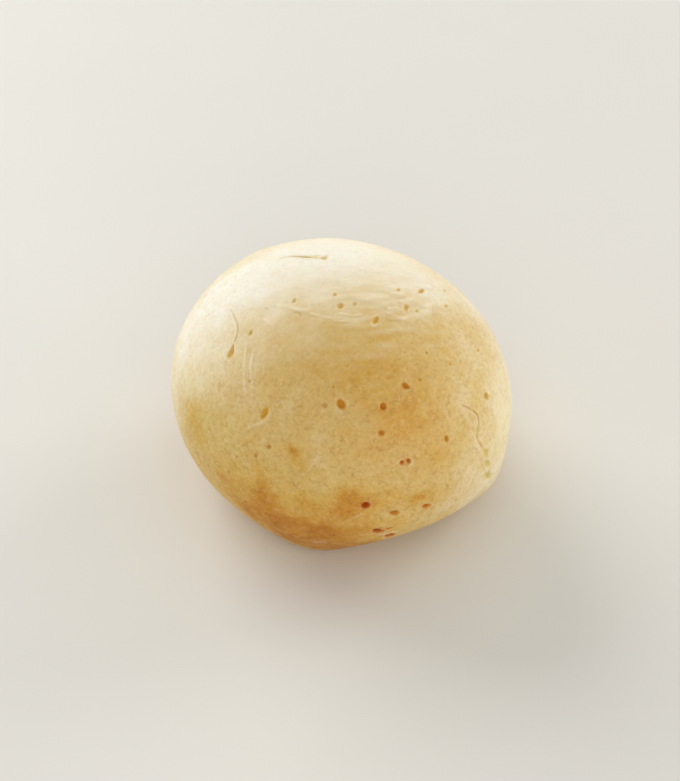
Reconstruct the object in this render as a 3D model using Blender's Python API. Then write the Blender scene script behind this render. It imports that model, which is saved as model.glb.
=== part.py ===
# Pao de queijo: one baked roll of cheese and tapioca dough, standing on its own flat base.
#
# The crust is worked out as a distance from the middle of the belly, along every direction. A domed
# ball comes first, then the swellings and hollows that make this roll lopsided, then the flat that the
# baking tray left, and last the pores and splits that open through the skin.
# Directions are (azimuth, elevation) in degrees: azimuth 0 is the front, -Y, and 90 is the right, +X.
# Lengths are in metres. The roll stands on z = 0, and the middle of its bounding box is at x = y = 0.

import math
import random

import bmesh
import bpy
import numpy as np
from mathutils import Vector, noise

MM = 0.001

# The domed ball
PLAN_RADIUS = 31.0 * MM  # mean half width at the belly
OVALNESS = 0.06  # share by which the plan is longer one way and shorter across it
OVAL_AZIMUTH = 45.0  # the long way of the plan
BELLY_HEIGHT = 20.0 * MM  # the widest level, above the base
RISE = 26.5 * MM  # the top, above the belly
TUCK = 25.0 * MM  # how deep the underside would hang below the belly if no tray had met it
DOME_POWER = 2.0  # 2 is an ellipse, and more is squarer
TUCK_POWER = 2.2
BASE_ROUNDING = 1.2 * MM  # blend between the flat base and the side

# Swellings, and hollows where the height is negative: (azimuth, elevation, height, spread in degrees)
SWELLINGS = [
    (-18, -47, 1.6 * MM, 14),  # heel at the front, where the base reaches furthest
    (28, -43, -2.7 * MM, 14),  # front right flank, drawn in under the belly
    (68, -29, 2.0 * MM, 9),  # corner low on the right, where the side lobe ends
    (150, 46, -0.2 * MM, 16),  # flatter shoulder at the back right
    (-130, 45, 0.3 * MM, 14),  # fuller shoulder at the back left
]
UNEVENNESS = 0.12 * MM  # soft rise and fall of the whole skin
UNEVEN_SCALE = 3.2  # waves of the unevenness across one radius

# Pores on the side that faces the front: (azimuth, elevation, length, width, lean of the long axis)
FRONT_PORES = [
    (-59, 72, 1.4 * MM, 0.9 * MM, 135),
    (8, 75, 1.6 * MM, 1.3 * MM, 85),
    (35, 64, 2.1 * MM, 1.2 * MM, 25),
    (64, 60, 2.0 * MM, 1.1 * MM, 15),
    (88, 56, 2.1 * MM, 1.0 * MM, 145),
    (-63, 52, 1.3 * MM, 0.9 * MM, 125),
    (-64, 42, 2.7 * MM, 1.4 * MM, 120),
    (59, 19, 1.5 * MM, 1.2 * MM, 135),
    (0, 37, 2.2 * MM, 1.6 * MM, 110),
    (-33, 30, 2.4 * MM, 1.3 * MM, 80),
    (17, 34, 1.6 * MM, 1.2 * MM, 75),
    (29, 38, 1.6 * MM, 1.3 * MM, 120),
    (14, 26, 1.2 * MM, 1.1 * MM, 5),
    (36, 17, 1.4 * MM, 0.9 * MM, 75),
    (20, 15, 1.8 * MM, 1.0 * MM, 175),
    (6, 1, 2.1 * MM, 1.7 * MM, 75),
    (15, -4, 2.0 * MM, 1.3 * MM, 170),
    (25, -4, 1.7 * MM, 1.0 * MM, 165),
    (10, -13, 2.2 * MM, 1.6 * MM, 165),
    (14, -21, 2.0 * MM, 1.3 * MM, 170),
    (50, 3, 1.7 * MM, 1.1 * MM, 115),
    (51, -2, 1.8 * MM, 1.2 * MM, 125),
    (53, -10, 2.2 * MM, 1.4 * MM, 125),
]

# Pores on the far side follow a rule: a seeded spread over the skin that faces away from the front view
FRONT_VIEW = (0, 42)
FAR_SIDE_REACH = -0.12  # cosine of the angle from the front view, at most this
BACK_PORE_COUNT = 14
BACK_PORE_SEED = 5
BACK_PORE_ELEVATIONS = (-18, 50)
BACK_PORE_LENGTHS = (1.2 * MM, 2.1 * MM)
BACK_PORE_SLIMNESS = (0.65, 0.95)  # width as a share of the length

PORE_DEPTH = 0.55  # share of the width
PORE_WALL = 0.5  # share of the radius where the wall starts to fall
PORE_REACH = 1.1  # share of the radius where the wall meets the skin

# Splits in the skin: the way that each runs, its full width at both ends, and its depth
SPLITS = [
    {
        "name": "crown slit",
        "route": [(-132, 61), (-138, 63), (-148, 69), (-158, 73), (-172, 76)],
        "widths": (0.5 * MM, 1.8 * MM),
        "depth": 0.6 * MM,
    },
    {
        "name": "left curl",
        "route": [(-92, 46), (-87, 49), (-75, 50), (-68, 47), (-65, 43)],
        "widths": (0.5 * MM, 0.9 * MM),
        "depth": 0.4 * MM,
    },
    {
        "name": "right seam",
        "route": [(43, 27), (47, 23), (51, 17), (48, 11), (49, 5), (51, -4), (53, -12)],
        "widths": (0.6 * MM, 1.3 * MM),
        "depth": 0.5 * MM,
    },
]
ROUTE_STEP = 0.3 * MM  # spacing of the points along a split
SPLIT_TAPER = 0.15  # share of the length over which each end closes

# Mesh
CUBE_CUTS = 15  # cuts along each edge of the cube that is blown up into the ball
DETAIL_MARGINS = [1.5 * MM, 0.8 * MM, 0.3 * MM]  # skin made finer around each opening, once for each

CRUST_COLOUR = (0.72, 0.50, 0.22, 1.0)
CRUST_ROUGHNESS = 0.5


def direction(azimuth, elevation):
    """The unit vector for an azimuth and an elevation in degrees."""
    az, el = math.radians(azimuth), math.radians(elevation)
    return np.array([math.cos(el) * math.sin(az), -math.cos(el) * math.cos(az), math.sin(el)])


def smooth_step(low, high, value):
    """0 below low, 1 above high, and a smooth rise between them."""
    t = np.clip((value - low) / (high - low), 0.0, 1.0)
    return t * t * (3 - 2 * t)


def dome(directions):
    """Distance to the plain domed ball: an oval plan, a high top and a squarer underside."""
    azimuths = np.arctan2(directions[:, 0], -directions[:, 1])
    plan = PLAN_RADIUS * (1 + OVALNESS * np.cos(2 * (azimuths - math.radians(OVAL_AZIMUTH))))
    above = directions[:, 2] > 0
    across = np.hypot(directions[:, 0], directions[:, 1]) / plan
    upright = np.abs(directions[:, 2]) / np.where(above, RISE, TUCK)
    power = np.where(above, DOME_POWER, TUCK_POWER)
    return (across**power + upright**power) ** (-1 / power)


def swell(directions):
    """Height of the swellings and hollows, and of the soft unevenness of the skin."""
    height = np.array([UNEVENNESS * noise.noise(Vector(d) * UNEVEN_SCALE) for d in directions])
    for azimuth, elevation, top, spread in SWELLINGS:
        angles = np.degrees(np.arccos(np.clip(directions @ direction(azimuth, elevation), -1, 1)))
        height += top * np.exp(-0.5 * (angles / spread) ** 2)
    return height


def press_on_tray(directions, radii):
    """The radii cut off by the tray under the belly, with a rounded edge."""
    down = np.maximum(-directions[:, 2], 1e-6)
    tray = BELLY_HEIGHT / down
    share = np.clip(0.5 + 0.5 * (tray - radii) / BASE_ROUNDING, 0.0, 1.0)
    return tray * (1 - share) + radii * share - BASE_ROUNDING * share * (1 - share)


def form_radius(directions):
    """Distance to the skin without its pores and splits."""
    return press_on_tray(directions, dome(directions) + swell(directions))


def back_pores():
    """The pores on the far side, spread by a seeded rule."""
    draw = random.Random(BACK_PORE_SEED)
    pores = []
    while len(pores) < BACK_PORE_COUNT:
        azimuth, elevation = draw.uniform(0, 360), draw.uniform(*BACK_PORE_ELEVATIONS)
        length = draw.uniform(*BACK_PORE_LENGTHS)
        width = length * draw.uniform(*BACK_PORE_SLIMNESS)
        lean = draw.uniform(0, 180)
        if direction(azimuth, elevation) @ direction(*FRONT_VIEW) < FAR_SIDE_REACH:
            pores.append((azimuth, elevation, length, width, lean))
    return pores


class Pore:
    """A small oval pit in the skin."""

    def __init__(self, azimuth, elevation, length, width, lean):
        self.middle = direction(azimuth, elevation)
        self.radius = form_radius(self.middle[None, :])[0]
        east = np.cross([0.0, 0.0, 1.0], self.middle)
        east /= np.linalg.norm(east)
        north = np.cross(self.middle, east)
        angle = math.radians(lean)
        self.along = math.cos(angle) * east + math.sin(angle) * north
        self.across = np.cross(self.middle, self.along)
        self.half_length, self.half_width = length / 2, width / 2
        self.depth = PORE_DEPTH * width

    def share(self, directions):
        """How far out each direction lies, where 1 is the pore's edge."""
        u = self.radius * (directions @ self.along) / self.half_length
        v = self.radius * (directions @ self.across) / self.half_width
        return np.where(directions @ self.middle > 0, np.hypot(u, v), np.inf)

    def reaches(self, directions, margin):
        """True where a direction lies within margin of the pore."""
        apart = np.linalg.norm(directions - self.middle, axis=1) * self.radius
        return apart < self.half_length + margin

    def cut(self, directions):
        """Depth of the pit under the skin."""
        return self.depth * (1 - smooth_step(PORE_WALL, PORE_REACH, self.share(directions)))


class Split:
    """A crack in the skin that follows a smooth route and closes towards both ends."""

    def __init__(self, route, widths, depth):
        knots = [Vector(direction(*place)) for place in route]
        knots = [2 * knots[0] - knots[1], *knots, 2 * knots[-1] - knots[-2]]
        points = []
        for before, start, end, after in zip(knots, knots[1:], knots[2:], knots[3:]):
            steps = max(2, round((end - start).length * PLAN_RADIUS / ROUTE_STEP))
            for step in range(steps):
                points.append(self.spline(before, start, end, after, step / steps))
        points.append(knots[-2])
        self.points = np.array([point.normalized() for point in points])
        self.along = np.linspace(0.0, 1.0, len(self.points))
        self.widths, self.depth = widths, depth

    @staticmethod
    def spline(before, start, end, after, t):
        """A point of the Catmull-Rom curve from start to end."""
        return 0.5 * (
            2 * start
            + (end - before) * t
            + (2 * before - 5 * start + 4 * end - after) * t**2
            + (3 * start - before - 3 * end + after) * t**3
        )

    def nearest(self, directions):
        """Distance of each direction from the route, along the skin, and the place on it."""
        apart = np.linalg.norm(directions[:, None, :] - self.points[None, :, :], axis=2)
        closest = apart.argmin(axis=1)
        return apart[np.arange(len(directions)), closest] * PLAN_RADIUS, self.along[closest]

    def reaches(self, directions, margin):
        """True where a direction lies within margin of the crack."""
        return self.nearest(directions)[0] < max(self.widths) / 2 + margin

    def cut(self, directions):
        """Depth of the crack under the skin."""
        apart, along = self.nearest(directions)
        half_width = (self.widths[0] + (self.widths[1] - self.widths[0]) * along) / 2
        closing = smooth_step(0, SPLIT_TAPER, along) * smooth_step(0, SPLIT_TAPER, 1 - along)
        return self.depth * closing * (1 - smooth_step(0.0, 1.0, apart / half_width))


def crust_radius(directions, openings):
    """Distance to the finished crust, with its pores and splits."""
    cuts = np.zeros(len(directions))
    for opening in openings:
        near = opening.reaches(directions, DETAIL_MARGINS[-1])
        if near.any():
            cuts[near] = np.maximum(cuts[near], opening.cut(directions[near]))
    return form_radius(directions) - cuts


def ball():
    """A cube cut into squares and blown up into a unit ball of nearly even squares."""
    bm = bmesh.new()
    bmesh.ops.create_cube(bm, size=2.0)
    bmesh.ops.subdivide_edges(bm, edges=bm.edges[:], cuts=CUBE_CUTS, use_grid_fill=True)
    for vertex in bm.verts:
        vertex.co = Vector([math.tan(c * math.pi / 4) for c in vertex.co]).normalized()
    bmesh.ops.triangulate(bm, faces=bm.faces[:])
    return bm


def refine(bm, openings):
    """Splits the faces near each opening, in steps that end at its edge."""
    for margin in DETAIL_MARGINS:
        middles = np.array([face.calc_center_median().normalized() for face in bm.faces])
        near = np.zeros(len(middles), bool)
        for opening in openings:
            near |= opening.reaches(middles, margin)
        edges = {edge for face, hit in zip(bm.faces, near) if hit for edge in face.edges}
        bmesh.ops.subdivide_edges(bm, edges=sorted(edges, key=lambda e: e.index), cuts=1)
        bmesh.ops.triangulate(bm, faces=[face for face in bm.faces if len(face.verts) > 3])
        for vertex in bm.verts:
            vertex.co.normalize()
        bm.verts.index_update()
        bm.edges.index_update()


def crust_material():
    """Matt to satin baked skin of tapioca dough."""
    material = bpy.data.materials.new("crust")
    material.use_nodes = True
    shader = material.node_tree.nodes["Principled BSDF"]
    shader.inputs["Base Color"].default_value = CRUST_COLOUR
    shader.inputs["Roughness"].default_value = CRUST_ROUGHNESS
    shader.inputs["Metallic"].default_value = 0.0
    return material


def make_roll():
    """The roll as one closed solid."""
    openings = [Pore(*pore) for pore in FRONT_PORES + back_pores()]
    openings += [Split(s["route"], s["widths"], s["depth"]) for s in SPLITS]
    bm = ball()
    refine(bm, openings)

    directions = np.array([vertex.co for vertex in bm.verts])
    places = directions * crust_radius(directions, openings)[:, None]
    places[:, 2] = np.maximum(places[:, 2] + BELLY_HEIGHT, 0.0)
    middle = (places.min(axis=0) + places.max(axis=0)) / 2
    places[:, :2] -= middle[:2]
    for vertex, place in zip(bm.verts, places):
        vertex.co = place

    mesh = bpy.data.meshes.new("roll")
    bm.to_mesh(mesh)
    bm.free()
    mesh.shade_smooth()
    mesh.materials.append(crust_material())
    roll = bpy.data.objects.new("roll", mesh)
    bpy.context.scene.collection.objects.link(roll)
    return roll


for old in list(bpy.data.objects):
    bpy.data.objects.remove(old, do_unlink=True)
make_roll()
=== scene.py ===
# Pao de queijo: the looks of one baked roll of cheese and tapioca dough, on a plain pale floor.
# Directions are (azimuth, elevation) in degrees seen from the middle of the roll's belly: azimuth 0 is
# the front, -Y, and 90 is the right, +X. Lengths are in metres, and mm turns millimetres into metres.

import math
import random

import bmesh
import bpy
import numpy as np
from mathutils import Matrix, Vector, noise


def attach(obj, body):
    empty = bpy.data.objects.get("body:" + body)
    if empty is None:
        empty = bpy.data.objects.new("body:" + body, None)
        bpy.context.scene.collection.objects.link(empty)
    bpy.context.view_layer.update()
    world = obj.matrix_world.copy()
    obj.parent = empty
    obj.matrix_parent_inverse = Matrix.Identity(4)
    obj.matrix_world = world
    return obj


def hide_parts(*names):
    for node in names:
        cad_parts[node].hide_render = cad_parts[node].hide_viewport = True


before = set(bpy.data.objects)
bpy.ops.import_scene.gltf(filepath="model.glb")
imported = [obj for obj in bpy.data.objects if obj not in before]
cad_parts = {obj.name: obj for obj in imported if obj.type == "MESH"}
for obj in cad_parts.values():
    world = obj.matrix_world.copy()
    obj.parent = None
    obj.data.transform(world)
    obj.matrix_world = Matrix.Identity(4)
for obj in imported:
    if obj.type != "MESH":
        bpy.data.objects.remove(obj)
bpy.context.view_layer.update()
mm = 0.001


# Small helpers


def direction(azimuth, elevation):
    az, el = math.radians(azimuth), math.radians(elevation)
    return np.array([math.cos(el) * math.sin(az), -math.cos(el) * math.cos(az), math.sin(el)])


def smoothStep(low, high, value):
    t = np.clip((value - low) / (high - low), 0.0, 1.0)
    return t * t * (3 - 2 * t)


def hill(distance, width):
    # 1 in the middle, falling off softly, and near nothing past two widths
    return np.exp(-((distance / width) ** 2))


def skinNoise(directions, wavelength, seed):
    # soft noise over the skin, from -1 to 1, with swells about one wavelength apart
    scale = rollForm["planRadius"] / wavelength
    away = Vector((seed * 17.3, seed * 5.1, seed * 9.7))
    return np.array([noise.noise(Vector(d) * scale + away) for d in directions])


def brokenUp(directions, breaks):
    # uneven share over the skin: its middle, swing, wavelength and seed, and the least and most it can be
    middle, swing, wavelength, seed, least, most = breaks
    return np.clip(middle + swing * skinNoise(directions, wavelength, seed), least, most)


def frameOn(middle, lean):
    # two directions along the skin at middle: lean is the turn of the first away from the level
    east = np.cross([0.0, 0.0, 1.0], middle)
    east /= np.linalg.norm(east)
    north = np.cross(middle, east)
    angle = math.radians(lean)
    along = math.cos(angle) * east + math.sin(angle) * north
    return along, np.cross(middle, along)


# Roll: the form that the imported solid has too

rollForm = {
    "planRadius": 31.0 * mm,  # mean half width at the belly
    "ovalness": 0.06,
    "ovalAzimuth": 45.0,
    "bellyHeight": 20.0 * mm,
    "rise": 26.5 * mm,  # top above the belly
    "tuck": 25.0 * mm,  # how deep the underside would hang if no tray had met it
    "domePower": 2.0,
    "tuckPower": 2.2,
    "baseRounding": 1.2 * mm,
    "unevenness": 0.12 * mm,
    "unevenScale": 3.2,
    # swellings, and hollows where the height is negative: azimuth, elevation, height, spread in degrees
    "swellings": [
        (-18, -47, 1.6 * mm, 14),  # heel at the front
        (28, -43, -2.7 * mm, 14),  # front right flank, drawn in
        (68, -29, 2.0 * mm, 9),  # corner low on the right
        (150, 46, -0.2 * mm, 16),  # flatter shoulder at the back right
        (-130, 45, 0.3 * mm, 14),  # fuller shoulder at the back left
    ],
}


def formRadius(directions):
    form = rollForm
    azimuths = np.arctan2(directions[:, 0], -directions[:, 1])
    turn = 2 * (azimuths - math.radians(form["ovalAzimuth"]))
    plan = form["planRadius"] * (1 + form["ovalness"] * np.cos(turn))
    above = directions[:, 2] > 0
    across = np.hypot(directions[:, 0], directions[:, 1]) / plan
    upright = np.abs(directions[:, 2]) / np.where(above, form["rise"], form["tuck"])
    power = np.where(above, form["domePower"], form["tuckPower"])
    radii = (across**power + upright**power) ** (-1 / power)

    # lopsided swellings and the soft unevenness
    radii += [form["unevenness"] * noise.noise(Vector(d) * form["unevenScale"]) for d in directions]
    for azimuth, elevation, height, spread in form["swellings"]:
        angles = np.degrees(np.arccos(np.clip(directions @ direction(azimuth, elevation), -1, 1)))
        radii += height * np.exp(-0.5 * (angles / spread) ** 2)

    # flat base that the tray left, with a rounded edge
    tray = form["bellyHeight"] / np.maximum(-directions[:, 2], 1e-6)
    rounding = form["baseRounding"]
    share = np.clip(0.5 + 0.5 * (tray - radii) / rounding, 0.0, 1.0)
    return tray * (1 - share) + radii * share - rounding * share * (1 - share)


# Pores: azimuth, elevation, length and width in mm, lean in degrees, tone, depth as a share of the width
# and, for some, how much narrower the end is that the lean points to, or the other end where it is
# below 0. Tone 0 is pale greenish yellow inside, 0.5 amber, 0.92 deep red brown, and 1 a dent's brown.

pores = {
    "front": [
        (-59, 72, 1.4, 0.9, 135, 0.1, 0.28),
        (8, 75, 1.6, 1.3, 85, 0.32, 0.3),
        (35, 64, 2.1, 1.2, 25, 0.36, 0.36),
        (64, 60, 2.0, 1.1, 15, 0.28, 0.32, -0.4),
        (88, 56, 2.1, 1.0, 145, 0.3, 0.4),
        (-63, 52, 1.3, 0.9, 125, 0.0, 0.4),
        (-64, 42, 2.9, 1.4, 118, 0.4, 0.36, 0.5),
        (59, 19, 1.6, 1.45, 150, 0.2, 0.5),
        (0, 37, 2.2, 1.6, 115, 0.62, 0.65, 0.3),
        (-32.7, 29.9, 2.75, 1.2, 76, 0.45, 0.6, -0.2),
        (17, 34, 1.6, 1.2, 75, 0.75, 0.7),
        (29, 38, 1.7, 1.25, 130, 0.7, 0.6, -0.35),
        (14, 26, 1.2, 1.1, 5, 0.7, 0.6),
        (36, 17, 1.5, 1.0, 75, 0.58, 0.75),
        (19, 15, 0.95, 0.85, 60, 0.8, 0.5),
        (21.2, 15, 0.95, 0.85, 110, 0.9, 0.5),
        (6, 1, 1.8, 1.55, 60, 0.92, 0.7),
        (15, -4, 2.1, 1.4, 161, 0.72, 0.9, 0.25),
        (25.5, -4.4, 1.8, 1.2, 166, 0.8, 0.6),
        (10, -13, 2.4, 1.7, 172, 0.9, 1.1, -0.3),
        (14.3, -18.2, 2.8, 1.9, 95, 0.9, 1.0),
        (50.2, 3.2, 2.5, 1.4, 121, 0.1, 0.25),
        (50.9, -2, 3.1, 1.4, 129, 0.0, 0.36),
        (52.6, -9.2, 4.8, 1.6, 126, 0.0, 0.36),
    ],
    # small ones that only show from near by
    "fine": [
        (13.5, -12, 1.5, 0.6, 10, 0.85, 0.4),
        (-35.6, -12.8, 0.8, 0.5, 150, 1.0, 0.4),
        (-15, 0, 0.7, 0.6, 60, 1.0, 0.1),
        (-42, 6.5, 0.8, 0.6, 70, 1.0, 0.12),
        (66, 56, 1.1, 0.75, 170, 0.1, 0.3),
        (84, 46, 1.4, 0.8, 150, 0.1, 0.3),
        (80, 65, 1.2, 0.8, 160, 0.3, 0.25),
        (98, 45, 1.3, 0.6, 140, 0.3, 0.25),
        (2, 81, 1.0, 0.85, 95, 0.35, 0.25),
        (28, 74, 1.0, 0.85, 55, 0.25, 0.25),
        (5, 50, 0.65, 0.6, 80, 0.2, 0.4),
        (-3, 43, 0.8, 0.75, 135, 0.4, 0.4),
        (-6.8, 36.6, 1.2, 1.0, 80, 1.0, 0.12),
        (-26.3, 33.9, 1.3, 1.1, 15, 0.25, 0.2),
        (36, 38, 0.95, 0.85, 5, 0.4, 0.5),
        (-45, 38, 0.85, 0.75, 175, 0.0, 0.35),
        (-28, 19, 1.0, 0.75, 40, 1.0, 0.3),
        (-33, 14, 1.0, 0.65, 70, 1.0, 0.28),
        (-41, 10, 0.8, 0.6, 45, 1.0, 0.1),
        (-45, 1, 0.9, 0.65, 45, 1.0, 0.22),
        (-57, -4, 1.1, 0.7, 50, 1.0, 0.15),
        (-31, -1, 1.0, 0.75, 60, 1.0, 0.3),
        (-30, -12, 1.1, 0.7, 55, 1.0, 0.3),
        (-37, -12.5, 1.1, 0.55, 20, 1.0, 0.4),
        (-39, -10.5, 0.9, 0.5, 30, 1.0, 0.4),
        (-20, -20, 1.5, 0.8, 10, 1.0, 0.4),
        (-26, -15, 1.2, 0.7, 150, 1.0, 0.3),
        (-34, -14.5, 1.0, 0.6, 20, 1.0, 0.35),
        (24, 0.5, 2.2, 1.1, 168, 0.75, 0.05),
        (19.8, 14.7, 2.2, 1.3, 172, 0.85, 0.06),
        (49, 13, 1.9, 0.85, 63, 0.15, 0.3),
        (47, 44, 0.7, 0.6, 50, 0.4, 0.4),
        (53, 36, 0.7, 0.6, 170, 0.4, 0.4),
        (71, 30, 0.9, 0.6, 160, 0.5, 0.4),
        (37, -8, 1.3, 0.8, 140, 1.0, 0.05),
        (33, 1, 1.0, 0.7, 135, 1.0, 0.05),
    ],
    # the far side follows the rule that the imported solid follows
    "frontView": (0, 42),
    "farSideReach": -0.12,  # cosine of the angle from the front view, at most this
    "backCount": 14,
    "backSeed": 5,
    "backElevations": (-18, 50),
    "backLengths": (1.2, 2.1),
    "backSlimness": (0.65, 0.95),
    # small ones among them
    "fineBackCount": 34,
    "fineBackSeed": 8,
    "fineBackLengths": (0.5, 1.1),
    "backTones": (0.1, 0.95),
    "backDepths": (0.35, 0.7),
    "reach": 1.2,  # how far out a pore is drawn, in half lengths
    "margin": 0.8 * mm,  # and past that, for its lips
    "outlineWobble": 0.22,  # how ragged each outline is, as a share of its size
    "wobbleLength": 0.9 * mm,
    "depthScale": 0.9,  # on the depths above
    # places on the way out, where 1 is the edge
    "wall": (0.25, 1.05),
    "stainEdge": (0.55, 1.25),
    "toneReach": 1.5,
    "stain": (0.3, 1.4),  # how strong the colour inside is: in a flat pore, and how it grows with depth
    "lipHeight": 0.04 * mm,
    "lipOffset": 0.14 * mm,  # from the edge to the middle of the lip
    "lipWidth": 0.18 * mm,
    "lipBreaks": (0.35, 1.8, 1.3 * mm, 10, 0.0, 1.0),
    "fullLip": 0.6 * mm,  # half width of the smallest pores that have lips of the full height
    # lips paler near the crown are partly a painted highlight where the light from above falls on them
    "paleLip": (0.2, 0.8),  # how pale the lips are low down and near the crown
    "paleLipElevations": (35, 60),
    "paleLipSizes": (0.3 * mm, 0.7 * mm),  # half widths where lips start to be pale, and are fully pale
}


def farPlaces(seed, count, lengths):
    # seeded places over the skin that faces away from the front view, with a length, slimness and lean
    draw = random.Random(seed)
    found = []
    while len(found) < count:
        azimuth, elevation = draw.uniform(0, 360), draw.uniform(*pores["backElevations"])
        length = draw.uniform(*lengths)
        slimness = draw.uniform(*pores["backSlimness"])
        lean = draw.uniform(0, 180)
        if direction(azimuth, elevation) @ direction(*pores["frontView"]) < pores["farSideReach"]:
            found.append((azimuth, elevation, length, slimness, lean))
    return found


def backPores():
    draw = random.Random(pores["fineBackSeed"])
    large = farPlaces(pores["backSeed"], pores["backCount"], pores["backLengths"])
    small = farPlaces(pores["fineBackSeed"], pores["fineBackCount"], pores["fineBackLengths"])
    found = []
    for azimuth, elevation, length, slimness, lean in large + small:
        tone, depth = draw.uniform(*pores["backTones"]), draw.uniform(*pores["backDepths"])
        found.append((azimuth, elevation, length, length * slimness, lean, tone, depth))
    return found


def makePore(azimuth, elevation, length, width, lean, tone, depth, taper=0.0):
    middle = direction(azimuth, elevation)
    along, across = frameOn(middle, lean)
    flatStain, deeperStain = pores["stain"]
    return {
        "middle": middle,
        "radius": formRadius(middle[None, :])[0],
        "along": along,
        "across": across,
        "halfLength": length * mm / 2,
        "halfWidth": width * mm / 2,
        "tone": tone,
        "depth": depth * width * mm,
        "taper": taper,
        "stain": min(1.0, flatStain + deeperStain * depth),
        "paleLip": np.interp(elevation, pores["paleLipElevations"], pores["paleLip"]),
    }


def poreShare(pore, directions):
    # how far out each direction lies, where 1 is the ragged edge of the pore
    u = pore["radius"] * (directions @ pore["along"]) / pore["halfLength"]
    v = pore["radius"] * (directions @ pore["across"]) / pore["halfWidth"]
    v = v / (1 - pore["taper"] * np.clip(u, -1, 1))
    wobble = pores["outlineWobble"] * skinNoise(directions, pores["wobbleLength"], 3)
    return np.hypot(u, v) * (1 + wobble)


# Lines on the skin: splits, hairlines, ridges and creases

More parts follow.
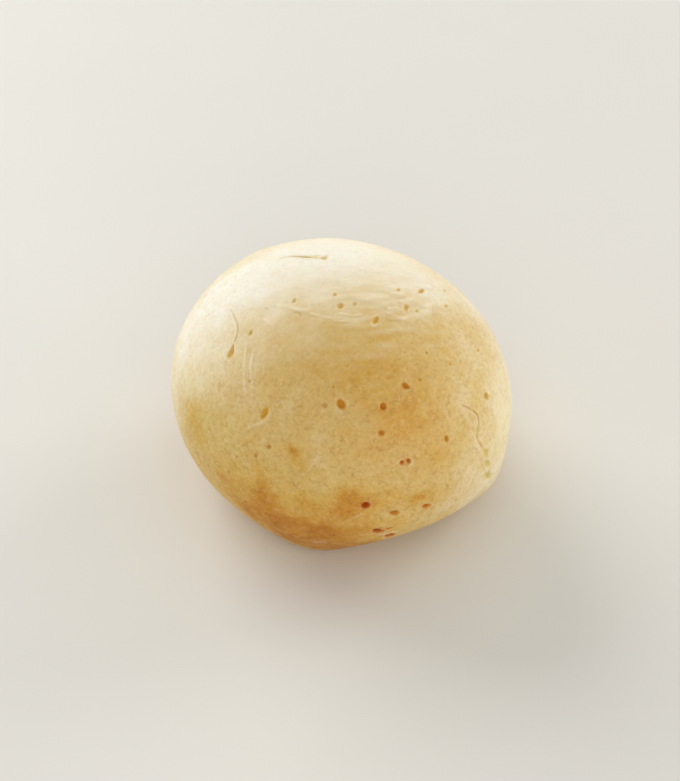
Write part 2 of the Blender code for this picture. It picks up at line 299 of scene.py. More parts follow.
lines = {
    # widths in mm of the slope on the left and on the right of the route, each at its start and end,
    # depth in mm, heights in mm of the lips on the left and right, the tone inside and how strong it is
    "splits": [
        (
            "crown slit",
            [(-132, 61), (-138, 63), (-144, 66.8), (-150, 70.7), (-160, 73.8), (-172, 76.8)],
            ((0.2, 2.8), (0.15, 0.25)),
            0.5,
            (0.0, 0.10),
            (0.15, 0.75),
        ),
        (
            "left curl",
            [(-91.5, 46), (-87.5, 49), (-80, 49.8), (-75, 49.8), (-70, 48.4), (-66.7, 45.5), (-65.6, 43.8)],
            ((0.18, 0.3), (0.15, 0.3)),
            0.22,
            (0.08, 0.14),
            (0.05, 0.25),
        ),
        (
            "seam foot",
            [(49.4, 4.5), (50.5, -1), (52, -7), (54, -15)],
            ((0.5, 0.5), (0.4, 0.4)),
            0.08,
            (0.0, 0.04),
            (0.0, 0.15),
        ),
        (
            "seam hollow",
            [(47.5, 13), (47.6, 9), (49, 4.5)],
            ((0.5, 0.6), (0.45, 0.5)),
            0.18,
            (0.0, 0.08),
            (0.5, 0.15),
        ),
        (
            "right seam",
            [(45, 25), (47, 23), (49, 20.4), (50.8, 17.5), (50, 14.6), (47.7, 11.2), (48.6, 7), (49.4, 4.5)],
            ((0.2, 0.34), (0.14, 0.26)),
            0.38,
            (0.05, 0.08),
            (0.45, 0.6),
        ),
        (
            "crack near the crown",
            [(-74, 61.5), (-68, 62.4)],
            ((0.15, 0.15), (0.15, 0.15)),
            0.2,
            (0.0, 0.0),
            (0.3, 0.6),
        ),
        (
            "crack by the ridge",
            [(-47, 68.4), (-42, 69.2), (-36, 68)],
            ((0.15, 0.2), (0.15, 0.2)),
            0.25,
            (0.0, 0.0),
            (0.3, 0.7),
        ),
        (
            "crack by the pore",
            [(43.3, 63), (44.3, 59.5)],
            ((0.15, 0.15), (0.15, 0.15)),
            0.2,
            (0.0, 0.0),
            (0.4, 0.6),
        ),
        (
            "cross hair",
            [(39.6, 9.4), (42.3, 8.2), (46.5, 5.7)],
            ((0.12, 0.12), (0.12, 0.12)),
            0.12,
            (0.0, 0.0),
            (0.4, 0.4),
        ),
        (
            "crescent",
            [(5.9, 35.4), (5.2, 34.2), (6.5, 32.6)],
            ((0.12, 0.12), (0.12, 0.12)),
            0.15,
            (0.0, 0.0),
            (0.3, 0.6),
        ),
    ],
    # width and height in mm, and how pale the crest is, partly paler dry skin and partly painted highlight
    # where it catches the light
    "ridges": [
        (
            "shoulder one",
            [(-70, 64.9), (-58, 68.6), (-46.7, 69.9), (-36.5, 71.2), (-26, 73.4)],
            0.45,
            0.16,
            0.9,
        ),
        ("shoulder two", [(-36, 70.8), (-25, 70.6), (-12.8, 70.1), (-1.8, 69)], 0.28, 0.10, 0.6),
        ("shoulder three", [(-4, 68.6), (6, 67.8), (15, 66.8)], 0.3, 0.08, 0.4),
        ("below the crown pore", [(-1.7, 71), (7.5, 71.1), (17.3, 69.2), (29.8, 68.3)], 0.3, 0.12, 0.6),
        ("top band", [(20, 78.6), (44, 73.7), (56, 67.4), (66, 63)], 0.75, 0.15, 0.6),
        ("right pair", [(45.5, 64.3), (50, 62.7), (51.3, 59.2)], 0.35, 0.14, 0.7),
        ("rim above", [(90, 58), (94, 54.4), (96, 51)], 0.4, 0.14, 0.9),
        ("rim below", [(80, 58), (82, 55.7), (85, 53.6)], 0.35, 0.12, 0.8),
        ("right one", [(68.5, 68), (75, 64.3), (81, 62)], 0.56, 0.24, 0.6),
        ("right two", [(63.7, 64.3), (68, 62), (74, 59.7), (77, 57.6)], 0.56, 0.24, 0.6),
        ("right three", [(50, 65.5), (54, 64), (60, 62)], 0.5, 0.21, 0.6),
        ("right four", [(43, 62.8), (54, 57.8), (65, 54.9), (76, 49.7)], 0.56, 0.26, 0.65),
        ("right five", [(36, 70), (46, 68.5), (57, 65.5)], 0.62, 0.21, 0.5),
        ("right six", [(70, 55), (78, 52.5), (86, 48)], 0.56, 0.21, 0.5),
        ("left of the curl", [(-66, 58.6), (-59, 59.3), (-50, 59.5)], 0.3, 0.08, 0.4),
        (
            "left streak one",
            [(-62.8, 50.3), (-57.8, 47.3), (-53.4, 43.5), (-49.9, 39.9), (-46.3, 35.7), (-43.6, 32)],
            0.3,
            0.13,
            0.6,
        ),
        (
            "left streak two",
            [(-52.6, 50), (-51, 47.1), (-49, 44), (-46, 40.6), (-43, 37.6), (-42, 34.1)],
            0.32,
            0.13,
            0.55,
        ),
        ("left streak three", [(-42.5, 46.6), (-40.9, 44.7), (-39.4, 42.4)], 0.25, 0.08, 0.5),
        (
            "pore tail",
            [(-39.6, 20.3), (-37.8, 22.8), (-34.5, 25.4), (-31.4, 27.6), (-30.2, 30.4), (-31, 32.6)],
            0.3,
            0.08,
            0.38,
        ),
        ("seam lip", [(49.2, 18), (48.2, 14.6), (46, 11), (46.8, 6.5)], 0.35, 0.10, 0.5),
        (
            "front crease",
            [(-17.3, 10.4), (-13.7, 12.9), (-11, 16.2), (-9.2, 19.6), (-8.5, 22)],
            0.22,
            0.10,
            0.45,
        ),
        ("foot of the red pore", [(-1, -7.3), (1.4, -5), (5.7, -2)], 0.2, 0.06, 0.25),
        ("above the low pores", [(9, -9), (12, -9.5), (15, -10.5)], 0.5, 0.08, 0.3),
        ("between the low pores", [(9, -16), (13, -15.8), (18, -15)], 0.4, 0.08, 0.5),
        ("heel highlight", [(-14.7, -24), (-10.7, -22.2), (-7, -22)], 0.6, 0.12, 0.28),
    ],
    "routeStep": 0.3 * mm,
    "reach": 3,  # how far past its slopes a line is drawn, in widths of the widest slope
    "toneReach": 1.5,
    # splits
    "splitTaper": 0.15,  # share of the length over which each end closes
    "splitBreaks": (0.85, 0.9, 1.8 * mm, 9, 0.3, 1.2),
    "raggedness": 0.3,
    "raggedLength": 0.9 * mm,
    "lipWidth": 0.25 * mm,
    # a split's raised lips are paler the higher they stand: partly paler skin, partly painted highlight
    "paleLip": (4, 0.8),  # how pale a lip is for each mm of its height, and at most
    "stainEdge": (0.0, 0.5),  # share of the depth over which the stain sets in
    # ridges, each with a shallow groove on its right
    "ridgeTaper": 0.25,
    "ridgeBreaks": (0.8, 0.9, 2.2 * mm, 8, 0.0, 1.3),
    "ridgeScale": 1.3,  # on the heights above
    "grooveDepth": 0.3,  # as a share of the ridge's height
    "grooveOffset": 1.6,  # in widths of the ridge
    "grooveWidth": 0.8,
}


def makeLine(route, leftWidths, rightWidths, taper):
    # points along a smooth curve through the route, with the way that the curve runs at each
    knots = [Vector(direction(*place)) for place in route]
    knots = [2 * knots[0] - knots[1], *knots, 2 * knots[-1] - knots[-2]]
    points = []
    for before, start, end, after in zip(knots, knots[1:], knots[2:], knots[3:]):
        steps = max(2, round((end - start).length * rollForm["planRadius"] / lines["routeStep"]))
        for step in range(steps):
            t = step / steps
            bend = (2 * before - 5 * start + 4 * end - after) * t**2
            twist = (3 * start - before - 3 * end + after) * t**3
            points.append((0.5 * (2 * start + (end - before) * t + bend + twist)).normalized())
    points.append(knots[-2].normalized())
    points = np.array(points)
    return {
        "points": points,
        "heading": np.gradient(points, axis=0),
        "along": np.linspace(0.0, 1.0, len(points)),
        "taper": taper,
        "left": np.array(leftWidths) * mm,
        "right": np.array(rightWidths) * mm,
        "widest": max(*leftWidths, *rightWidths) * mm,
    }


def measureLine(line, directions):
    # signed distance from the line along the skin, with its left above 0, how far the line is open
    # there, and the width of its slope on that side
    apart = np.linalg.norm(directions[:, None, :] - line["points"][None, :, :], axis=2)
    closest = apart.argmin(axis=1)
    near = line["points"][closest]
    left = np.cross(near, line["heading"][closest])
    side = np.where(((directions - near) * left).sum(axis=1) > 0, 1.0, -1.0)
    along = line["along"][closest]
    opened = smoothStep(0, line["taper"], along) * smoothStep(0, line["taper"], 1 - along)
    signed = side * apart[np.arange(len(directions)), closest] * rollForm["planRadius"]
    leftWidth = line["left"][0] + (line["left"][1] - line["left"][0]) * along
    rightWidth = line["right"][0] + (line["right"][1] - line["right"][0]) * along
    return signed, opened, np.where(side > 0, leftWidth, rightWidth)


# Toast: browner and paler patches of the crust, and warmer and greener ones; a few of the paler ones are
# partly painted light,
# from the window and the floor: azimuth, elevation, amount, reach along and across in degrees, and lean

toastAndPaintedLight = {
    "patches": [
        (-31, -17, 0.42, 17, 8, -30),  # brown band low on the front left
        (-18, -23, 0.40, 13, 8, -5),
        (-17, -13, 0.27, 9, 5, 0),
        (-10, -15, 0.16, 9, 6, 30),
        (-27, -5, 0.20, 14, 7, -20),
        (-28, 8, 0.05, 8, 6, 0),
        (-30, 3, 0.16, 3.5, 5, 0),
        (-17, 0, 0.06, 16, 7, 0),
        (0, 5, 0.20, 5, 3.5, 10),  # brown grey spots above the front pores
        (-2, -3, 0.20, 6, 4.5, 0),
        (3, 1, 0.10, 5, 4, 0),
        (-13, -2, 0.12, 5, 4, 0),
        (2, -11, 0.14, 14, 6, 0),
        (-7, -19, 0.16, 13, 6, 0),
        (-18.5, 20, 0.22, 2.6, 1.8, -45),
        (-15, 16, 0.10, 3, 2, -45),
        (-18, 20, 0.05, 7, 4, 0),
        (-8, -30, 0.22, 20, 7, 0),
        (22, 28, 0.11, 13, 12, 0),  # tan across the middle right
        (30, 12, 0.06, 10, 8, 0),
        (14, 42, 0.06, 14, 8, 0),
        (2, 48, 0.06, 24, 10, 0),
        (72, 62, -0.06, 12, 8, 0),
        (95, 50, -0.06, 12, 12, 0),
        # paler along the right limb: painted light from behind
        (98, 30, -0.08, 12, 14, 0),
        (62, 73, 0.04, 14, 8, 0),
        (36, 59, 0.09, 10, 8, 0),
        (10, 75, 0.05, 24, 8, 0),
        (3, 39, -0.05, 9, 5, 0),
        (-37, 42, -0.02, 16, 14, 0),
        (-72, 48, -0.02, 12, 10, 0),
        # paler low on the left: painted bounce light from the floor
        (-80, 4, -0.10, 9, 16, 0),
        (55, 18, -0.08, 13, 15, 0),
        (38, 11, -0.06, 8, 8, 0),
        (23, 10, -0.05, 6, 6, 0),
        (23.5, 0.5, 0.16, 4.5, 2.6, 0),
        (13, 3, 0.06, 7, 5, 0),
        (7, 1, 0.05, 5, 3.5, 0),
        (-66, 11, 0.12, 8, 7, 0),
        (-62, 38, -0.10, 20, 18, 0),
        # paler low on the right, here and in the next two: partly paler crust, partly painted bounce light
        # from the floor
        (50, -11, -0.16, 16, 14, 0),  # paler low on the right
        (72, -20, -0.14, 24, 12, 0),
        (80, 6, -0.26, 20, 20, 0),
        # paler left limb: partly paler crust, partly painted light from the window on the left
        (-98, 32, -0.30, 22, 32, 0),
        # pale crown: partly paler crust, partly painted light from the window behind and above
        (180, 70, -0.46, 52, 36, 0),  # pale crown
        (150, -16, 0.18, 34, 10, 0),
        (-130, -18, 0.24, 28, 10, 0),
        (165, 18, 0.10, 20, 10, 0),
        (-150, 6, 0.08, 16, 10, 0),
        (0, -90, 0.42, 52, 52, 0),  # underside, browned by the tray
    ],
    "ground": 0.45,
    "ceiling": 0.80,
    "warmPatches": [
        (21, 26, 0.24, 15, 15, 0),
        (-24, -12, 0.15, 24, 8, -6),
        (-58, 10, -0.22, 20, 20, 0),
        (-14, 10, -0.15, 16, 10, 0),
        (68, 8, -0.12, 16, 26, 0),
        (7, 1, 0.2, 6, 4, 0),
        (-1, 0, 0.1, 6, 8, 0),
        (150, 10, 0.25, 26, 14, 0),
        (-140, 20, -0.2, 26, 20, 0),
    ],
    # how ragged the patches are: share of their size, wavelength and seed
    "wobbles": [(0.22, 9 * mm, 5), (0.12, 3.5 * mm, 6)],
}


def patchSum(directions, patches):
    total = np.zeros(len(directions))
    wobble = sum(share * skinNoise(directions, length, seed) for share, length, seed in toastAndPaintedLight["wobbles"])
    for azimuth, elevation, strength, reachAlong, reachAcross, lean in patches:
        middle = direction(azimuth, elevation)
        if abs(elevation) < 89:
            along, across = frameOn(middle, lean)
        else:
            along, across = direction(0, 0), direction(90, 0)
        u = np.degrees(np.arctan2(directions @ along, directions @ middle)) / reachAlong
        v = np.degrees(np.arctan2(directions @ across, directions @ middle)) / reachAcross
        total += strength * np.exp(-((np.hypot(u, v) * (1 + wobble)) ** 2))
    return total


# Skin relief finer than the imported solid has

skin = {
    "softHeight": 0.07 * mm,
    "softWavelength": 4.0 * mm,
    "fineHeight": 0.034 * mm,
    "fineWavelength": 1.6 * mm,
    "streakHeight": 0.12 * mm,
    "streakWavelength": 1.3 * mm,
    "streakLength": 6.0 * mm,
    "streakAcross": (180, 48),
    "streakAlong": (90, 0),
    "streakSlice": 4.2,  # which slice of the noise the streaks are taken from
    "streakMiddle": (60, 70),  # where the drawn skin shows most
    "streakReach": 24,  # degrees
    # the streaks' crests are paler: partly paler skin, partly painted highlight
    "streakPaleness": 0.5,  # at most, on the crests
    "smoothUnderside": (-0.35, -0.6),  # sine of the elevation where relief starts to fade, and is gone
    "cubeCuts": 80,  # cuts along each edge of the cube that is blown up into the roll
    "fineMargins": [1.0 * mm, 0.4 * mm],  # skin this near to a pore or line is made finer, once for each
    "coarseElevations": (-20, 15, 42, 64),  # grain of the crust: rough low down, smooth on the crown
    "coarseness": (1.4, 1.3, 1.1, 0.45),
    "smoothBrowning": (0.15, 0.45),  # and finer where the crust is pale
    "smoothness": (0.6, 1.0),
}


def streakMask(directions):
    angle = np.degrees(np.arccos(np.clip(directions @ direction(*skin["streakMiddle"]), -1, 1)))
    return np.exp(-((angle / skin["streakReach"]) ** 2))


def streaks(directions):
    radius = rollForm["planRadius"]
    u = directions @ direction(*skin["streakAcross"]) * radius / skin["streakWavelength"]
    v = directions @ direction(*skin["streakAlong"]) * radius / skin["streakLength"]
    return np.array([noise.noise(Vector((a, b, skin["streakSlice"]))) for a, b in zip(u, v)])


def skinRelief(directions, drawn):
    relief = skin["softHeight"] * skinNoise(directions, skin["softWavelength"], 1)
    relief += skin["fineHeight"] * skinNoise(directions, skin["fineWavelength"], 2)
    return relief + skin["streakHeight"] * drawn


def nearPore(pore, directions, margin):
    apart = np.linalg.norm(directions - pore["middle"], axis=1) * pore["radius"]
    return apart < pore["halfLength"] * pores["reach"] + margin


def nearLine(line, directions, margin):
    return np.abs(measureLine(line, directions)[0]) < line["widest"] + margin


def ball(cuts):
    bm = bmesh.new()
    bmesh.ops.create_cube(bm, size=2.0)
    bmesh.ops.subdivide_edges(bm, edges=bm.edges[:], cuts=cuts, use_grid_fill=True)
    for vertex in bm.verts:
        vertex.co = Vector([math.tan(c * math.pi / 4) for c in vertex.co]).normalized()
    bmesh.ops.triangulate(bm, faces=bm.faces[:])
    return bm


def refine(bm, poreList, lineList):
    for margin in skin["fineMargins"]:
        middles = np.array([face.calc_center_median().normalized() for face in bm.faces])
        near = np.zeros(len(middles), bool)
        for pore in poreList:
            near |= nearPore(pore, middles, margin)
        for line in lineList:
            near |= nearLine(line, middles, margin)
        edges = {edge for face, hit in zip(bm.faces, near) if hit for edge in face.edges}
        bmesh.ops.subdivide_edges(bm, edges=sorted(edges, key=lambda e: e.index), cuts=1)
        bmesh.ops.triangulate(bm, faces=[face for face in bm.faces if len(face.verts) > 3])
        for vertex in bm.verts:
            vertex.co.normalize()
        bm.verts.index_update()
        bm.edges.index_update()


def raiseTo(layer, near, values):
    # keeps the higher of what the layer has and the new values
    layer[near] = np.maximum(layer[near], values)


def raiseRidge(layers, directions, line, height, paleness):
    near = nearLine(line, directions, lines["reach"] * line["widest"])
    signed, opened, width = measureLine(line, directions[near])
    opened = opened * brokenUp(directions[near], lines["ridgeBreaks"])
    crest = opened * hill(signed, width)
    groove = opened * hill(signed + lines["grooveOffset"] * width, lines["grooveWidth"] * width)
    profile = crest - lines["grooveDepth"] * groove
    layers["relief"][near] += lines["ridgeScale"] * height * mm * profile
    # crests paler: partly paler dry skin, partly painted highlight
    raiseTo(layers["pale"], near, paleness * crest)


def cutSplit(layers, directions, line, depth, lips, inside):
    near = nearLine(line, directions, lines["reach"] * line["widest"])
    signed, opened, width = measureLine(line, directions[near])
    opened = opened * brokenUp(directions[near], lines["splitBreaks"])
    ragged = 1 + lines["raggedness"] * skinNoise(directions[near], lines["raggedLength"], 4)
    distance = np.abs(signed)
    cut = opened * (1 - smoothStep(0.0, 1.0, distance * ragged / width))
    raiseTo(layers["cuts"], near, depth * mm * cut)

    # lips, paler the higher they stand: partly paler skin, partly painted highlight
    lip = opened * hill(distance - width - 0.5 * lines["lipWidth"], lines["lipWidth"])
    height = np.where(signed > 0, lips[0], lips[1])
    perHeight, palest = lines["paleLip"]
    layers["relief"][near] += height * mm * lip
    raiseTo(layers["pale"], near, np.clip(perHeight * height, 0, palest) * lip)

    # colour inside
    tone, stain = inside
    layers["tone"][near] = np.where(distance < lines["toneReach"] * width, tone, layers["tone"][near])
    raiseTo(layers["pit"], near, stain * smoothStep(*lines["stainEdge"], cut))


def cutPore(layers, directions, pore):
    near = nearPore(pore, directions, pores["margin"])
    share = poreShare(pore, directions[near])
    depth = pores["depthScale"] * pore["depth"]
    raiseTo(layers["cuts"], near, depth * (1 - smoothStep(*pores["wall"], share)))

    # lips, lower and less pale round small pores, and paler near the crown: partly paler skin, partly
    # painted highlight where the light from above falls
    lip = hill((share - 1) * pore["halfWidth"] - pores["lipOffset"], pores["lipWidth"])
    lip *= brokenUp(directions[near], pores["lipBreaks"])
    layers["relief"][near] += pores["lipHeight"] * lip * min(1.0, pore["halfWidth"] / pores["fullLip"])
    paleness = pore["paleLip"] * smoothStep(*pores["paleLipSizes"], pore["halfWidth"])
    raiseTo(layers["pale"], near, paleness * lip)

    # colour inside
    layers["tone"][near] = np.where(share < pores["toneReach"], pore["tone"], layers["tone"][near])
    raiseTo(layers["pit"], near, pore["stain"] * (1 - smoothStep(*pores["stainEdge"], share)))


def crustCoarseness(directions, browningAndPaintedLight):
    elevations = np.degrees(np.arcsin(directions[:, 2]))
    coarse = np.interp(elevations, skin["coarseElevations"], skin["coarseness"])
    return coarse * np.interp(browningAndPaintedLight, skin["smoothBrowning"], skin["smoothness"])


def makeRoll():
    poreList = [makePore(*pore) for pore in pores["front"] + pores["fine"] + backPores()]
    splitList = [
        (makeLine(route, *widths, lines["splitTaper"]), depth, lips, inside)
        for _, route, widths, depth, lips, inside in lines["splits"]
    ]
    ridgeList = [
        (makeLine(route, (width, width), (width, width), lines["ridgeTaper"]), height, pale)
        for _, route, width, height, pale in lines["ridges"]
    ]
    bm = ball(skin["cubeCuts"])
    refine(bm, poreList, [line for line, *_ in splitList + ridgeList])
    print("roll mesh has", len(bm.faces), "triangles")

    # layers over the skin, which the ridges, splits and pores are drawn into
    directions = np.array([vertex.co for vertex in bm.verts])
    masked = streakMask(directions)
    drawn = streaks(directions) * masked
    layers = {
        "relief": skinRelief(directions, drawn),
        "cuts": np.zeros(len(directions)),
        "tone": np.full(len(directions), 0.5),
        "pit": np.zeros(len(directions)),
        # paleness of the drawn skin's crests, partly painted highlight
        "pale": np.clip(drawn, 0, skin["streakPaleness"]),
    }
    for ridge in ridgeList:
        raiseRidge(layers, directions, *ridge)
    for split in splitList:
        cutSplit(layers, directions, *split)
    for pore in poreList:
        cutPore(layers, directions, pore)

    # the skin stands on z = 0 with the middle of its box on the origin
    above = 1 - smoothStep(*skin["smoothUnderside"], directions[:, 2])
    radii = formRadius(directions) + layers["relief"] * above - layers["cuts"]
    places = directions * radii[:, None]
    places[:, 2] = np.maximum(places[:, 2] + rollForm["bellyHeight"], 0.0)
    middle = (places.min(axis=0) + places.max(axis=0)) / 2
    places[:, :2] -= middle[:2]
    for vertex, place in zip(bm.verts, places):
        vertex.co = place
    mesh = bpy.data.meshes.new("crust")
    bm.to_mesh(mesh)
    bm.free()

    # what the crust material reads
    browningAndPaintedLight = np.minimum(toastAndPaintedLight["ground"] + patchSum(directions, toastAndPaintedLight["patches"]), toastAndPaintedLight["ceiling"])
    for name, values in {
        "toastAndPaintedLight": browningAndPaintedLight,
        "warmth": patchSum(directions, toastAndPaintedLight["warmPatches"]),
        "pit": layers["pit"],
        "tone": layers["tone"],
        "pale": layers["pale"],
        "drawn": masked,
        "coarse": crustCoarseness(directions, browningAndPaintedLight),
    }.items():
        layer = mesh.attributes.new(name, "FLOAT", "POINT")
        layer.data.foreach_set("value", np.asarray(values, dtype=np.float32))
    mesh.shade_smooth()
    piece = bpy.data.objects.new("crust", mesh)
    bpy.context.scene.collection.objects.link(piece)
    return piece, Vector((-middle[0], -middle[1], rollForm["bellyHeight"]))


# Materials

crustLooks = {
    # noises over the crust: size in mm, and an offset that keeps each apart from the others
    "grains": {
        "fine": (0.5, 0.0),
        "grit": (0.9, 27.0),
        "flecks": (1.2, 15.0),
        "middling": (1.6, 3.0),
        "wrinkles": (2.4, 23.0),
        "hairs": (2.6, 31.0),
        "hue": (3.0, 11.0),
        "hairPatches": (4.0, 37.0),
        "blotches": (5.0, 7.0),
    },
    # share of toast and the colour there
    "toastColours": [
        (0.00, (0.85, 0.81, 0.69)),
        (0.22, (0.78, 0.66, 0.43)),
        (0.42, (0.665, 0.470, 0.178)),
        (0.56, (0.635, 0.390, 0.092)),
        (0.72, (0.550, 0.262, 0.036)),
        (0.88, (0.43, 0.160, 0.013)),
        (1.00, (0.33, 0.105, 0.010)),
    ],
    "unevenToast": {"blotches": 0.65, "middling": 0.30, "fine": 0.05},  # as shares of the toast
    "brownedFrom": (0.6, 0.95),  # toast where the crust starts to count as browned, and where it fully is
    # drifts of hue over the skin: a tint towards green yellow and one towards orange
    "hueContrast": 0.6,
    "tints": [(0.0, (0.95, 1.01, 0.85)), (0.5, (1.0, 1.0, 1.0)), (1.0, (1.04, 0.93, 0.92))],
    # tone of a pore and the colour in its depth
    "poreColours": [
        (0.00, (0.64, 0.50, 0.14)),
        (0.50, (0.69, 0.385, 0.046)),
        (0.75, (0.62, 0.245, 0.022)),
        (0.92, (0.46, 0.075, 0.002)),
        (1.00, (0.47, 0.205, 0.022)),
    ],
    # colour of paler lips and ridges, which partly stands for painted highlight
    "paleColour": (0.89, 0.82, 0.66),
    "paleShare": 0.7,  # how much of it lips and ridges take on at most
    "fleckColour": (0.84, 0.66, 0.34),
    "fleckEdge": (0.03, 0.2),
    "fleckShare": 0.16,
    # dents in the crust: how they are darkened, everywhere and more where it is browned
    "speckTint": (0.58, 0.44, 0.36),
    "dentDarkness": 0.12,
    "brownedDarkness": 0.8,
    "dentSpacing": 1.5,  # mm
    "dentShare": 0.4,
    "dentEdge": (0.34, 0.1),  # from its edge to its bottom, as shares of the spacing
    "dentDepth": 0.04,  # as a share of the bump's depth, like the heights below
    # light and dark of the grain: partly its own tone, partly painted shade in the hollows of the pebbled
    # bump and painted light on its tops
    "grit": [
        (0.0, (0.86, 0.73, 0.54)),
        (0.5, (1.0, 1.0, 1.0)),
        (1.0, (1.09, 1.15, 1.32)),
    ],
    "middlingShade": 0.8,
    # hairlines: thin pale lines that wander over the skin in patches
    "hairPaleness": 0.35,
    "hairWidth": 0.02,
    "hairPatchEdge": (0.0, 0.12),
    "hairHeight": 0.35,
    "roughness": 0.58,
    "roughnessSwing": 0.4,
    "gloss": 0.12,
    "sheen": 0.07,
    "sheenRoughness": 0.45,
    "sheenTint": (1.0, 0.94, 0.82),
    "subsurface": 0.3,
    "subsurfaceScale": 0.8 * mm,
    "subsurfaceReach": (1.0, 0.72, 0.42),  # red light goes farther than green and blue
    "bump": 1.0,
    "bumpDepth": 0.09 * mm,
    "fineHeight": 0.6,
    "wrinkles": 5.5,  # how much higher the drawn skin wrinkles than the grain
    "wrinkleSqueeze": (0.18, 1.0, 1.0),
}

# the noise behind every grain
grainLooks = {
    "detail": 3.0,
    "roughness": 0.55,
}


def makeGrainGroup():
    # soft grain used by crust and floor: noise at one size, spread to a wanted contrast about the middle
    group = bpy.data.node_groups.new("softGrain", "ShaderNodeTree")
    group.interface.new_socket("Size", in_out="INPUT", socket_type="NodeSocketFloat")
    group.interface.new_socket("Contrast", in_out="INPUT", socket_type="NodeSocketFloat")
    group.interface.new_socket("Offset", in_out="INPUT", socket_type="NodeSocketVector")
    group.interface.new_socket("Squeeze", in_out="INPUT", socket_type="NodeSocketVector")
    group.interface.new_socket("Grain", in_out="OUTPUT", socket_type="NodeSocketFloat")
    nodes, links = group.nodes, group.links
    inside, outside = nodes.new("NodeGroupInput"), nodes.new("NodeGroupOutput")
    coordinates = nodes.new("ShaderNodeTexCoord")
    shift = nodes.new("ShaderNodeVectorMath")
    shift.operation = "ADD"
    squeeze = nodes.new("ShaderNodeVectorMath")
    squeeze.operation = "MULTIPLY"
    perMetre = nodes.new("ShaderNodeMath")
    perMetre.operation = "DIVIDE"
    perMetre.inputs[0].default_value = 1 / mm
    texture = nodes.new("ShaderNodeTexNoise")
    texture.inputs["Detail"].default_value = grainLooks["detail"]
    texture.inputs["Roughness"].default_value = grainLooks["roughness"]
    spread = nodes.new("ShaderNodeMath")
    spread.operation = "MULTIPLY_ADD"
    centre = nodes.new("ShaderNodeMath")
    centre.operation = "SUBTRACT"
    centre.inputs[1].default_value = 0.5
    spread.inputs[2].default_value = 0.0
    links.new(coordinates.outputs["Object"], squeeze.inputs[0])
    links.new(inside.outputs["Squeeze"], squeeze.inputs[1])
    links.new(squeeze.outputs[0], shift.inputs[0])
    links.new(inside.outputs["Offset"], shift.inputs[1])
    links.new(shift.outputs[0], texture.inputs["Vector"])
    links.new(inside.outputs["Size"], perMetre.inputs[1])
    links.new(perMetre.outputs[0], texture.inputs["Scale"])
    links.new(texture.outputs["Fac"], centre.inputs[0])
    links.new(centre.outputs[0], spread.inputs[0])
    links.new(inside.outputs["Contrast"], spread.inputs[1])
    links.new(spread.outputs[0], outside.inputs["Grain"])
    return group


grainGroup = makeGrainGroup()


def newMaterial(name):
    material = bpy.data.materials.new(name)
    material.use_nodes = True
    tree = material.node_tree
    return material, tree, tree.nodes["Principled BSDF"]


def addGrain(tree, size, contrast, offset, squeeze=(1.0, 1.0, 1.0)):
    node = tree.nodes.new("ShaderNodeGroup")
    node.node_tree = grainGroup
    node.inputs["Size"].default_value = size
    node.inputs["Contrast"].default_value = contrast
    node.inputs["Offset"].default_value = (offset, 0.0, 0.0)
    node.inputs["Squeeze"].default_value = squeeze
    return node.outputs["Grain"]


def addMath(tree, operation, first, second):
    node = tree.nodes.new("ShaderNodeMath")
    node.operation = operation
    for socket, value in zip(node.inputs, (first, second)):
        if isinstance(value, (int, float)):
            socket.default_value = value
        else:
            tree.links.new(value, socket)
    return node.outputs[0]


def addAttribute(tree, name):
    node = tree.nodes.new("ShaderNodeAttribute")
    node.attribute_name = name
    return node.outputs["Fac"]


def addRamp(tree, value, stops):
    node = tree.nodes.new("ShaderNodeValToRGB")
    ramp = node.color_ramp
    while len(ramp.elements) < len(stops):
        ramp.elements.new(0.5)
    for element, (place, colour) in zip(ramp.elements, stops):
        element.position = place
        element.color = (*colour, 1.0)
    tree.links.new(value, node.inputs["Fac"])
    return node.outputs["Color"]


def addSmooth(tree, value, low, high):
    # 0 below low, 1 above high, and a smooth rise between them
    node = tree.nodes.new("ShaderNodeMapRange")
    node.interpolation_type = "SMOOTHSTEP"
    tree.links.new(value, node.inputs["Value"])
    node.inputs["From Min"].default_value = low
    node.inputs["From Max"].default_value = high
    return node.outputs["Result"]


def addMix(tree, share, first, second, blend="MIX"):
    node = tree.nodes.new("ShaderNodeMix")
    node.data_type = "RGBA"
    node.blend_type = blend
    sockets = [s for s in node.inputs if s.type == "RGBA"]
    for socket, value in ((node.inputs["Factor"], share), (sockets[0], first), (sockets[1], second)):
        if isinstance(value, tuple):
            socket.default_value = (*value, 1.0)
        elif isinstance(value, float):
            socket.default_value = value
        else:
            tree.links.new(value, socket)
    return next(s for s in node.outputs if s.type == "RGBA")


def addDents(tree, spacing, share, edge):
    # small round dents: one somewhere in every cell about spacing mm wide, kept in a share of the cells
    cells = tree.nodes.new("ShaderNodeTexVoronoi")
    cells.inputs["Scale"].default_value = 1 / (spacing * mm)
    coordinates = tree.nodes.new("ShaderNodeTexCoord")
    tree.links.new(coordinates.outputs["Object"], cells.inputs["Vector"])
    inside = addSmooth(tree, cells.outputs["Distance"], *edge)
    picked = addMath(tree, "LESS_THAN", cells.outputs["Color"], share)
    return addMath(tree, "MULTIPLY", inside, picked)


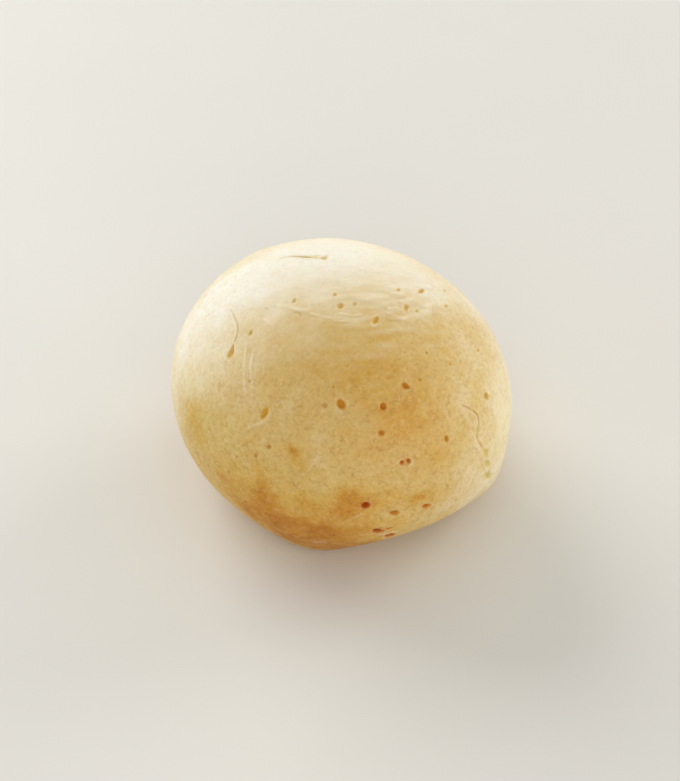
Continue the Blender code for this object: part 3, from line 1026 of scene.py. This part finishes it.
def makeCrustMaterial():
    looks = crustLooks
    material, tree, shader = newMaterial("crust")

    def grain(name, contrast=1.0, squeeze=(1.0, 1.0, 1.0)):
        size, offset = looks["grains"][name]
        return addGrain(tree, size, contrast, offset, squeeze)

    def plus(first, second):
        return addMath(tree, "ADD", first, second)

    def times(first, second):
        return addMath(tree, "MULTIPLY", first, second)

    noises = {name: grain(name) for name in ("fine", "grit", "middling", "blotches")}
    fine, grit, middling = noises["fine"], noises["grit"], noises["middling"]
    toastedAndPaintedLight = addAttribute(tree, "toastAndPaintedLight")
    coarse = addAttribute(tree, "coarse")
    browned = addSmooth(tree, toastedAndPaintedLight, *looks["brownedFrom"])
    unbrowned = addMath(tree, "SUBTRACT", 1.0, browned)

    # toast, uneven at three sizes
    amount = toastedAndPaintedLight
    for name, strength in looks["unevenToast"].items():
        amount = plus(amount, times(times(noises[name], strength), toastedAndPaintedLight))
    colour = addRamp(tree, amount, looks["toastColours"])

    # drifts of hue, and the grain's light and dark, each about the middle of its colours; the grain's dark
    # follows the low places of the bump's noises, partly its own tone and partly painted shade in the
    # hollows, with painted light on the tops
    hue = plus(grain("hue", looks["hueContrast"]), addAttribute(tree, "warmth"))
    colour = addMix(tree, 1.0, colour, addRamp(tree, plus(hue, 0.5), looks["tints"]), "MULTIPLY")
    shade = plus(plus(fine, grit), times(middling, looks["middlingShade"]))
    shade = plus(times(shade, coarse), 0.5)
    colour = addMix(tree, 1.0, colour, addRamp(tree, shade, looks["grit"]), "MULTIPLY")

    # pale flecks where the crust isn't browned, and dents, which are darkest where it is
    flecks = times(addSmooth(tree, grain("flecks"), *looks["fleckEdge"]), unbrowned)
    colour = addMix(tree, times(flecks, looks["fleckShare"]), colour, looks["fleckColour"])
    dents = addDents(tree, looks["dentSpacing"], looks["dentShare"], looks["dentEdge"])
    darkness = plus(times(browned, looks["brownedDarkness"]), looks["dentDarkness"])
    colour = addMix(tree, times(dents, darkness), colour, looks["speckTint"], "MULTIPLY")

    # hairlines, where one noise crosses its middle and another one is high
    contour = addMath(tree, "ABSOLUTE", grain("hairs"), 0.0)
    patches = addSmooth(tree, grain("hairPatches"), *looks["hairPatchEdge"])
    hairs = times(addSmooth(tree, contour, looks["hairWidth"], 0.0), patches)
    hairMix = times(times(hairs, unbrowned), looks["hairPaleness"])
    colour = addMix(tree, hairMix, colour, looks["fleckColour"])

    # lips and ridges, paler partly in their own colour and partly as painted highlight, and the insides of
    # pores and splits
    paleness = times(addAttribute(tree, "pale"), looks["paleShare"])
    colour = addMix(tree, paleness, colour, looks["paleColour"])
    inner = addRamp(tree, addAttribute(tree, "tone"), looks["poreColours"])
    colour = addMix(tree, addAttribute(tree, "pit"), colour, inner)
    tree.links.new(colour, shader.inputs["Base Color"])

    rough = plus(times(middling, looks["roughnessSwing"]), looks["roughness"])
    tree.links.new(rough, shader.inputs["Roughness"])
    shader.inputs["Specular IOR Level"].default_value = looks["gloss"]
    shader.inputs["Sheen Weight"].default_value = looks["sheen"]
    shader.inputs["Sheen Roughness"].default_value = looks["sheenRoughness"]
    shader.inputs["Sheen Tint"].default_value = (*looks["sheenTint"], 1.0)
    shader.inputs["Subsurface Weight"].default_value = looks["subsurface"]
    shader.inputs["Subsurface Radius"].default_value = looks["subsurfaceReach"]
    shader.inputs["Subsurface Scale"].default_value = looks["subsurfaceScale"]

    # pebbled grain, hairlines and wrinkles
    bump = tree.nodes.new("ShaderNodeBump")
    bump.inputs["Strength"].default_value = looks["bump"]
    bump.inputs["Distance"].default_value = looks["bumpDepth"]
    pebbles = plus(times(fine, looks["fineHeight"]), plus(grit, middling))
    pebbles = addMath(tree, "SUBTRACT", pebbles, times(dents, looks["dentDepth"]))
    pebbles = plus(times(pebbles, coarse), times(hairs, looks["hairHeight"]))
    wrinkles = grain("wrinkles", looks["wrinkles"], looks["wrinkleSqueeze"])
    wrinkles = times(wrinkles, addAttribute(tree, "drawn"))
    tree.links.new(plus(pebbles, wrinkles), bump.inputs["Height"])
    tree.links.new(bump.outputs["Normal"], shader.inputs["Normal"])
    return material


floorLooks = {
    "size": 3.0,
    "segments": 96,
    "colour": (0.75, 0.735, 0.69),
    "shade": (0.72, 0.705, 0.66),
    "roughness": 0.55,
    "grainSize": 30.0,  # mm
    "grainContrast": 0.8,
    "grainOffset": 1.0,
}


def makeFloor():
    bm = bmesh.new()
    bmesh.ops.create_circle(bm, cap_ends=True, segments=floorLooks["segments"], radius=floorLooks["size"])
    mesh = bpy.data.meshes.new("floor")
    bm.to_mesh(mesh)
    bm.free()
    floor = bpy.data.objects.new("floor", mesh)
    bpy.context.scene.collection.objects.link(floor)
    material, tree, shader = newMaterial("floor")
    grain = addGrain(tree, floorLooks["grainSize"], floorLooks["grainContrast"], floorLooks["grainOffset"])
    share = addMath(tree, "ADD", grain, 0.5)
    colour = addMix(tree, share, floorLooks["colour"], floorLooks["shade"])
    tree.links.new(colour, shader.inputs["Base Color"])
    shader.inputs["Roughness"].default_value = floorLooks["roughness"]
    mesh.materials.append(material)
    return floor


# Camera

cameraLooks = {
    "lens": 100.0,  # mm
    "sensor": 36.0,  # mm
    "clip": (0.01, 20.0),
    "distance": 401.7 * mm,
    "elevation": 41.6,  # degrees above the level
    "roll": -3.4,  # degrees that the picture is turned
}


def makeCamera(target):
    elevation, roll = math.radians(cameraLooks["elevation"]), math.radians(cameraLooks["roll"])
    back = Vector((0.0, -math.cos(elevation), math.sin(elevation)))
    right = Vector((1.0, 0.0, 0.0))
    up = back.cross(right)
    turnedRight = math.cos(roll) * right + math.sin(roll) * up
    turnedUp = math.cos(roll) * up - math.sin(roll) * right
    camera = bpy.data.objects.new("camera", bpy.data.cameras.new("camera"))
    camera.data.lens = cameraLooks["lens"]
    camera.data.sensor_width = cameraLooks["sensor"]
    camera.data.clip_start, camera.data.clip_end = cameraLooks["clip"]
    turn = Matrix((turnedRight, turnedUp, back)).transposed().to_4x4()
    camera.matrix_world = Matrix.Translation(target + back * cameraLooks["distance"]) @ turn
    bpy.context.scene.collection.objects.link(camera)
    bpy.context.scene.camera = camera


# Light

lightLooks = {
    "worldColour": (1.0, 0.985, 0.96),
    "worldStrength": 0.515,
    # azimuth, elevation, distance, size, watts, colour
    "areas": [
        ("window", -145, 25, 2.4, 2.0, 41.5, (1.0, 0.995, 0.97)),
        ("second window", 120, 18, 2.4, 1.4, 20.5, (1.0, 0.99, 0.96)),
        ("room", 0, 28, 2.8, 2.4, 23.0, (1.0, 0.99, 0.96)),
        ("low bounce", 70, 4, 2.0, 1.0, 10.0, (1.0, 0.98, 0.94)),
        ("left bounce", -80, 6, 2.0, 1.2, 4.0, (1.0, 0.99, 0.96)),
    ],
}


def makeLights(target):
    world = bpy.data.worlds.new("world")
    world.use_nodes = True
    background = world.node_tree.nodes["Background"]
    background.inputs["Color"].default_value = (*lightLooks["worldColour"], 1.0)
    background.inputs["Strength"].default_value = lightLooks["worldStrength"]
    bpy.context.scene.world = world
    for name, azimuth, elevation, distance, size, watts, colour in lightLooks["areas"]:
        light = bpy.data.lights.new(name, "AREA")
        light.shape = "DISK"
        light.size = size
        light.energy = watts
        light.color = colour
        away = Vector(direction(azimuth, elevation))
        lamp = bpy.data.objects.new(name, light)
        lamp.location = target + away * distance
        lamp.rotation_euler = away.to_track_quat("Z", "Y").to_euler()
        bpy.context.scene.collection.objects.link(lamp)


roll, belly = makeRoll()
roll.data.materials.append(makeCrustMaterial())
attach(roll, "root")
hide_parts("roll")
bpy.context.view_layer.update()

makeFloor()
print("floor made")

makeCamera(belly)
makeLights(belly)
bpy.context.scene.view_settings.view_transform = "Standard"
print("camera and lights made")
